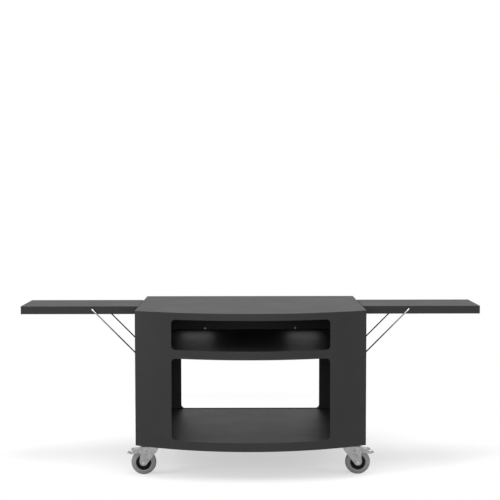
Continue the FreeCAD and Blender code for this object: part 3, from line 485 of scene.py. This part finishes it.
def tyreProfile(half, seat, outer):
    shoulder = tyre["shoulder"]
    tilt = math.radians(tyre["sideTilt"])
    low = outer - tyre["crown"]
    lip = seat + tyre["bead"] + tyre["lip"]
    flat = half - (low - shoulder - lip) * math.tan(tilt) - shoulder / math.cos(tilt)
    right = [
        (flat * 0.5, outer - tyre["crown"] * 0.25),
        *arcPoints((flat, low - shoulder), shoulder, 90, tyre["sideTilt"], tyre["shoulderPoints"]),
        (half, lip),
        (half - tyre["beadDepth"], seat + tyre["bead"]),
        (half - tyre["beadDepth"], seat),
    ]
    line = tyre["partingLine"]
    middle = [(-line * 2, outer - line), (0, outer), (line * 2, outer - line)]
    left = [(-along, radius) for along, radius in reversed(right)]
    return left + middle + right


def makeTyres():
    for corner in corners:
        low, high = (Vector(end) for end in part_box(corner + "_tyre"))
        middle = (low + high) / 2
        rimLow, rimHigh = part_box(corner + "_rim")
        seat = (rimHigh[2] - rimLow[2]) / 2 + tyre["rimGap"]
        profile = tyreProfile((high.y - low.y) / 2, seat, (high.z - low.z) / 2)
        across = Matrix.Translation(middle) @ Matrix.Rotation(math.radians(90), 4, "Z")
        mesh = lathe(profile, tyre["steps"], across)
        piece = addPiece(corner + "_moulded_tyre", mesh, "tyre_rubber", corner + "_wheel")
        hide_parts(corner + "_tyre")


makeTyres()
print("tyres made")


# Screws: round heads with a hexagon socket

screw = {
    "steps": 24,
    "radius": 0.0042,
    "height": 0.0022,
    "outline": [(1.0, 0.0), (0.98, 0.35), (0.86, 0.70), (0.64, 0.92), (0.48, 1.0)],  # shares of both
    "socket": 0.0017,  # to the hexagon's corners
    "depth": 0.0014,
}


def addScrew(builder, matrix):
    turns = [2 * math.pi * step / screw["steps"] for step in range(screw["steps"])]
    rings = []
    for reach, rise in screw["outline"]:
        radius = screw["radius"] * reach
        height = screw["height"] * rise
        ring = [Vector((radius * math.cos(turn), radius * math.sin(turn), height)) for turn in turns]
        rings.append([matrix @ point for point in ring])
    half = math.pi / 6  # half the angle of a hexagon's side
    for height in (screw["height"], screw["height"] - screw["depth"]):
        ring = []
        for turn in turns:
            radius = screw["socket"] * math.cos(half) / math.cos(turn % (2 * half) - half)
            ring.append(matrix @ Vector((radius * math.cos(turn), radius * math.sin(turn), height)))
        rings.append(ring)
    addStack(builder, rings)


def makeScrews(name, body, places):
    builder = bmesh.new()
    for matrix in places:
        addScrew(builder, matrix)
    return addPiece(name, finishMesh(builder, name), "fastener_steel", body, smooth=35)


def wallReach(side):  # how far the side panel's outer face is from the table's middle
    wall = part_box(side + "_side_panel")
    return max(abs(wall[0][0]), abs(wall[1][0]))


hinge = {
    "sheet": 0.002,
    "leafLength": 0.072,
    "screwsAlong": (0.17, 0.5, 0.83),  # share of a leaf's length
    "wallRises": (0.010, 0.028, 0.010),  # screws over the wall leaf's lower edge
    "shelfInsets": (0.009, 0.021, 0.009),  # screws from the shelf leaf's outer edge
}


def leafStarts(box):
    return box[0][1], box[1][1] - hinge["leafLength"]


def makeHingeScrews():
    for side in sides:
        sign = outward(side)
        wallFace = wallReach(side) + hinge["sheet"]
        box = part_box(side + "_hinge_wall_leaves")
        places = []
        for start in leafStarts(box):
            for share, rise in zip(hinge["screwsAlong"], hinge["wallRises"]):
                along = start + share * hinge["leafLength"]
                origin = Vector((sign * wallFace, along, box[0][2] + rise))
                places.append(frameOn(origin, (sign, 0, 0), (0, 1, 0)))
        makeScrews(side + "_wall_leaf_screws", "base", places)
        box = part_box(side + "_hinge_shelf_leaves")
        edge = max(abs(box[0][0]), abs(box[1][0]))
        underside = box[1][2] - hinge["sheet"]
        places = []
        for start in leafStarts(box):
            for share, inset in zip(hinge["screwsAlong"], hinge["shelfInsets"]):
                along = start + share * hinge["leafLength"]
                origin = Vector((sign * (edge - inset), along, underside))
                places.append(frameOn(origin, (0, 0, -1), (0, 1, 0)))
        makeScrews(side + "_shelf_leaf_screws", side + "_shelf", places)


hook = {
    "sheet": 0.002,
    "width": 0.018,
    "screwDrop": 0.007,  # under the plate's upper edge
}


def makeHookScrews():
    low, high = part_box("stay_hooks")
    places = []
    for side in sides:
        sign = outward(side)
        face = wallReach(side) + hook["sheet"]
        for y in (low[1] + hook["width"] / 2, high[1] - hook["width"] / 2):
            origin = Vector((sign * face, y, high[2] - hook["screwDrop"]))
            places.append(frameOn(origin, (sign, 0, 0), (0, 1, 0)))
    makeScrews("stay_hook_screws", "base", places)


makeHingeScrews()
makeHookScrews()
print("screws made")


# Casters: dust ring at the race, pressed ribs on the fork, thread guards on the hub, grips on the pedal

dustRing = {
    "steps": 72,
    "inner": 0.0301,  # just outside the fork's dish
    "wall": 0.0016,
    "foot": 0.0030,  # how far the ring hangs below the dish's top
    "skirt": 0.35,  # share of the foot at which the outer face ends
    "chamfer": 0.0008,
    "over": 0.0001,  # how far it stands over the dish's top
}


def makeDustRing(corner):
    plate = nodeMiddle(corner + "_caster_plate")
    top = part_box(corner + "_fork")[1][2]
    inner = dustRing["inner"]
    outer = inner + dustRing["wall"]
    low = -dustRing["foot"]
    over = dustRing["over"]
    profile = [
        (low, inner), (low, outer), (low * dustRing["skirt"], outer),
        (over, outer - dustRing["chamfer"]), (over, inner),
    ]
    upright = Matrix.Translation((plate.x, plate.y, top)) @ Matrix.Rotation(math.radians(-90), 4, "Y")
    mesh = lathe(profile, dustRing["steps"], upright)
    addPiece(corner + "_dust_ring", mesh, "rim_plastic", corner + "_fork")


threadGuard = {
    "steps": 72,
    "start": 0.0152,  # just outside the rim, along the axle from the wheel's middle
    "depth": 0.0032,
    "inner": 0.0131,  # just outside the hub
    "outer": 0.0225,
    "edge": 0.0008,  # thickness at the outer edge
    "step": 0.0012,
    "fillet": 0.003,
    "nose": (0.0006, 0.0016),  # chamfer beside the fork, along and across
}


def makeThreadGuards(corner):
    axle = nodeMiddle(corner + "_rim")
    inner = threadGuard["inner"]
    outer = threadGuard["outer"]
    fillet = threadGuard["fillet"]
    start = threadGuard["start"]
    finish = start + threadGuard["depth"]
    noseLength, noseWidth = threadGuard["nose"]
    profile = [
        (start, inner), (start, outer), (start + threadGuard["edge"], outer),
        (start + threadGuard["step"], outer - fillet), (finish - noseLength, inner + fillet),
        (finish, inner + noseWidth), (finish, inner),
    ]
    for name, sign in (("near", -1), ("far", 1)):
        across = Matrix.Translation(axle) @ Matrix.Rotation(math.radians(90 * sign), 4, "Z")
        mesh = lathe(profile, threadGuard["steps"], across)
        addPiece(corner + "_" + name + "_thread_guard", mesh, "rim_plastic", corner + "_wheel")


pressedRib = {
    "steps": 32,
    "outline": ((1.0, 0.0), (0.93, 0.45), (0.78, 0.80), (0.52, 1.0)),  # shares of half width and height
}


def addRib(builder, matrix, length, width, height):
    rings = []
    for share, rise in pressedRib["outline"]:
        ring = []
        for step in range(pressedRib["steps"]):
            turn = 2 * math.pi * step / pressedRib["steps"]
            end = math.copysign(length / 2 - width / 2, math.cos(turn))
            x = end + width / 2 * share * math.cos(turn)
            y = width / 2 * share * math.sin(turn)
            ring.append(matrix @ Vector((x, y, rise * height)))
        rings.append(ring)
    addStack(builder, rings)


forkRib = {
    "width": 0.009,
    "height": 0.0011,
    "start": (0.000, 0.0165),  # outboard of and above the axle
    "finish": (-0.014, 0.056),
}


def makeForkRibs(corner):
    axle = nodeMiddle(corner + "_rim")
    sign = outward(corner)
    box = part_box(corner + "_fork")
    start = Vector((sign * forkRib["start"][0], 0, forkRib["start"][1]))
    finish = Vector((sign * forkRib["finish"][0], 0, forkRib["finish"][1]))
    along = (finish - start).normalized()
    length = (finish - start).length + forkRib["width"]
    builder = bmesh.new()
    for face, out in ((box[0][1], (0, -1, 0)), (box[1][1], (0, 1, 0))):
        middle = Vector((axle.x, face, axle.z)) + (start + finish) / 2
        addRib(builder, frameOn(middle, out, along), length, forkRib["width"], forkRib["height"])
    name = corner + "_fork_ribs"
    addPiece(name, finishMesh(builder, name), "zinc", corner + "_fork")


pedal = {
    "upperEnd": 0.019,  # from the lower leaf's tip to the upper leaf's, along X
    "upperRise": -0.0089,  # upper leaf's end from the top of the pedal
    "slope": (0.0230, -0.0030),  # upper leaf's run and fall toward its end
    "grips": (0.004, 0.0085, 0.013),  # back from the upper leaf's end
    "gripRadius": 0.0009,
    "gripInset": 0.004,
}


def makePedalGrips(corner):
    sign = outward(corner)
    low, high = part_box(corner + "_brake_pedal")
    tip = max(abs(low[0]), abs(high[0])) - pedal["upperEnd"]
    run, fall = pedal["slope"]
    width = high[1] - low[1] - 2 * pedal["gripInset"]
    middle = (low[1] + high[1]) / 2
    radius = pedal["gripRadius"]
    builder = bmesh.new()
    for back in pedal["grips"]:
        rise = high[2] + pedal["upperRise"] - fall * back / run
        origin = Vector((sign * (tip - back), middle, rise))
        addRib(builder, frameOn(origin, (0, 0, 1), (0, 1, 0)), width, radius * 2, radius)
    name = corner + "_pedal_grips"
    addPiece(name, finishMesh(builder, name), "zinc", corner + "_pedal")


for corner in corners:
    makeDustRing(corner)
    makeThreadGuards(corner)
    makeForkRibs(corner)
    if corner.startswith("front"):
        makePedalGrips(corner)
print("caster details made")


# Weld beads across the mitres of the shelf pans' returns

weld = {
    "return": 0.020,
    "width": 0.0042,
    "height": 0.0010,
    "pitch": 0.0022,  # ripple to ripple
    "ripple": 0.14,  # share by which the bead thins between ripples
    "ripplePoints": 4,
    "taper": 3,  # how fast the bead reaches its width from its ends
    "least": 0.00002,  # width and height left at the very ends
    "archPoints": 9,
    "margin": 0.0015,
}


def addBead(builder, start, finish, out):
    along = (finish - start).normalized()
    length = (finish - start).length
    ripple = weld["ripple"]
    count = int(length / weld["pitch"]) * weld["ripplePoints"]
    matrix = frameOn(start, out, along)
    rings = []
    for step in range(count + 1):
        share = step / count
        end = min(1.0, math.sin(math.pi * share) * weld["taper"])
        swell = 1 - ripple + ripple * math.cos(2 * math.pi * step / weld["ripplePoints"])
        width = weld["width"] / 2 * end * swell + weld["least"]
        height = weld["height"] * end * swell + weld["least"]
        ring = []
        for x, z in arcPoints((0, 0), 1, 0, 180, weld["archPoints"]):
            ring.append(matrix @ Vector((share * length, width * x, height * z)))
        rings.append(ring)
    addStack(builder, rings)


def makeMitreBeads():
    margin = weld["margin"]
    inset = weld["return"] - margin
    for side in sides:
        low, high = (Vector(end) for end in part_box(side + "_shelf"))
        builder = bmesh.new()
        for x, inwardX in ((low.x, 1), (high.x, -1)):
            for y, inwardY in ((low.y, 1), (high.y, -1)):
                start = Vector((x + inwardX * margin * 2, y + inwardY * margin * 2, low.z))
                finish = Vector((x + inwardX * inset, y + inwardY * inset, low.z))
                addBead(builder, start, finish, (0, 0, -1))
        name = side + "_mitre_beads"
        addPiece(name, finishMesh(builder, name), "black_coat", side + "_shelf")


makeMitreBeads()
print("weld beads made")


# Stage: floor, white surroundings, lights and camera

stage = {
    "floorRadius": 30.0,
    "floorSteps": 96,
    "shadowMiddle": 0.80,  # behind the table's middle, metres
    "shadowReach": (1.70, 1.27),  # half axes of the ellipse where the shadow has faded to white
    "shadowStart": 0.87,  # share of them where it starts to fade
    "floorColour": (0.91, 0.91, 0.91),
    "floorGlow": 0.52,  # share of plain white that the camera sees in the floor
    "worldLight": 0.55,
}


def makeFloor():
    bpy.ops.mesh.primitive_circle_add(
        vertices=stage["floorSteps"], radius=stage["floorRadius"], fill_type="NGON", location=(0, 0, 0))
    floor = bpy.context.object
    floor.name = "studioFloor"
    material = bpy.data.materials.new("studioFloor")
    material.use_nodes = True
    tree = material.node_tree
    tree.nodes.clear()
    place = newNode(tree, "TexCoord").outputs["Object"]
    wide, deep = stage["shadowReach"]
    squash = newNode(tree, "Mapping", {
        "Location": (0, -stage["shadowMiddle"] / deep, 0),
        "Scale": (1 / wide, 1 / deep, 1),
    }, {"Vector": place}).outputs["Vector"]
    far = newNode(tree, "VectorMath", {"operation": "LENGTH"}, {0: squash}).outputs["Value"]
    fade = newNode(tree, "MapRange", {
        "interpolation_type": "SMOOTHSTEP",
        "From Min": stage["shadowStart"], "From Max": 1.0,
        "To Min": stage["floorGlow"], "To Max": 1.0,
    }, {"Value": far}).outputs["Result"]
    seen = combine(tree, "MULTIPLY", fade, newNode(tree, "LightPath").outputs["Is Camera Ray"])
    diffuse = newNode(tree, "BsdfDiffuse", {"Color": (*stage["floorColour"], 1)}).outputs[0]
    glow = newNode(tree, "Emission", {"Color": (1, 1, 1, 1), "Strength": 1.0}).outputs[0]
    mix = newNode(tree, "MixShader", {}, {0: seen, 1: diffuse, 2: glow}).outputs[0]
    output = newNode(tree, "OutputMaterial", {}, {"Surface": mix})
    output.is_active_output = True
    floor.data.materials.append(material)


def makeWorld():
    world = bpy.data.worlds.new("studioWorld")
    scene.world = world
    world.use_nodes = True
    tree = world.node_tree
    tree.nodes.clear()
    rays = newNode(tree, "LightPath").outputs
    white = combine(tree, "MAXIMUM", rays["Is Camera Ray"], rays["Is Glossy Ray"])
    white = combine(tree, "MAXIMUM", white, rays["Is Transmission Ray"])
    strength = ramp(tree, white, 0, 1, stage["worldLight"], 1.0)
    background = newNode(tree, "Background", {"Color": (1, 1, 1, 1)}, {"Strength": strength}).outputs[0]
    newNode(tree, "OutputWorld", {}, {"Surface": background})


softboxes = [
    # name, position, target, width, height, watts
    ("leftSoftbox", (-4.2, -1.6, 2.2), (0, -0.1, 0.4), 1.8, 2.6, 114),
    ("rightSoftbox", (4.2, -1.6, 2.2), (0, -0.1, 0.4), 1.8, 2.6, 60),
    ("topSoftbox", (0.2, -0.3, 3.5), (0.1, 0, 0.4), 3.0, 1.2, 78),
    ("frontSoftbox", (0, -5.6, 1.8), (0, 0, 0.3), 6.0, 2.0, 180),
]


def makeSoftboxes():
    for name, position, target, width, height, watts in softboxes:
        light = bpy.data.lights.new(name, "AREA")
        light.shape = "RECTANGLE"
        light.size = width
        light.size_y = height
        light.energy = watts
        lamp = bpy.data.objects.new(name, light)
        lamp.location = position
        lamp.rotation_euler = (Vector(target) - Vector(position)).to_track_quat("-Z", "Y").to_euler()
        scene.collection.objects.link(lamp)


photoCamera = {
    "position": (-0.02219, -5.92604, 1.45356),
    "down": 3.296,  # degrees below level
    "right": 0.198,  # degrees
    "roll": -0.069,  # degrees
    "lens": 82.58,  # millimetres
    "sensor": 36,  # millimetres
    "clipEnd": 100,
}


def makeCamera():
    data = bpy.data.cameras.new("photoCamera")
    data.lens = photoCamera["lens"]
    data.sensor_width = photoCamera["sensor"]
    data.clip_end = photoCamera["clipEnd"]
    camera = bpy.data.objects.new("photoCamera", data)
    camera.location = photoCamera["position"]
    turn = Matrix.Rotation(math.radians(-photoCamera["right"]), 3, "Z")
    tilt = Matrix.Rotation(math.radians(90 - photoCamera["down"]), 3, "X")
    roll = Matrix.Rotation(math.radians(photoCamera["roll"]), 3, "Z")
    camera.rotation_euler = (turn @ tilt @ roll).to_euler()
    scene.collection.objects.link(camera)
    scene.camera = camera


makeFloor()
makeWorld()
makeSoftboxes()
makeCamera()
scene.view_settings.view_transform = "Standard"
print("stage set")
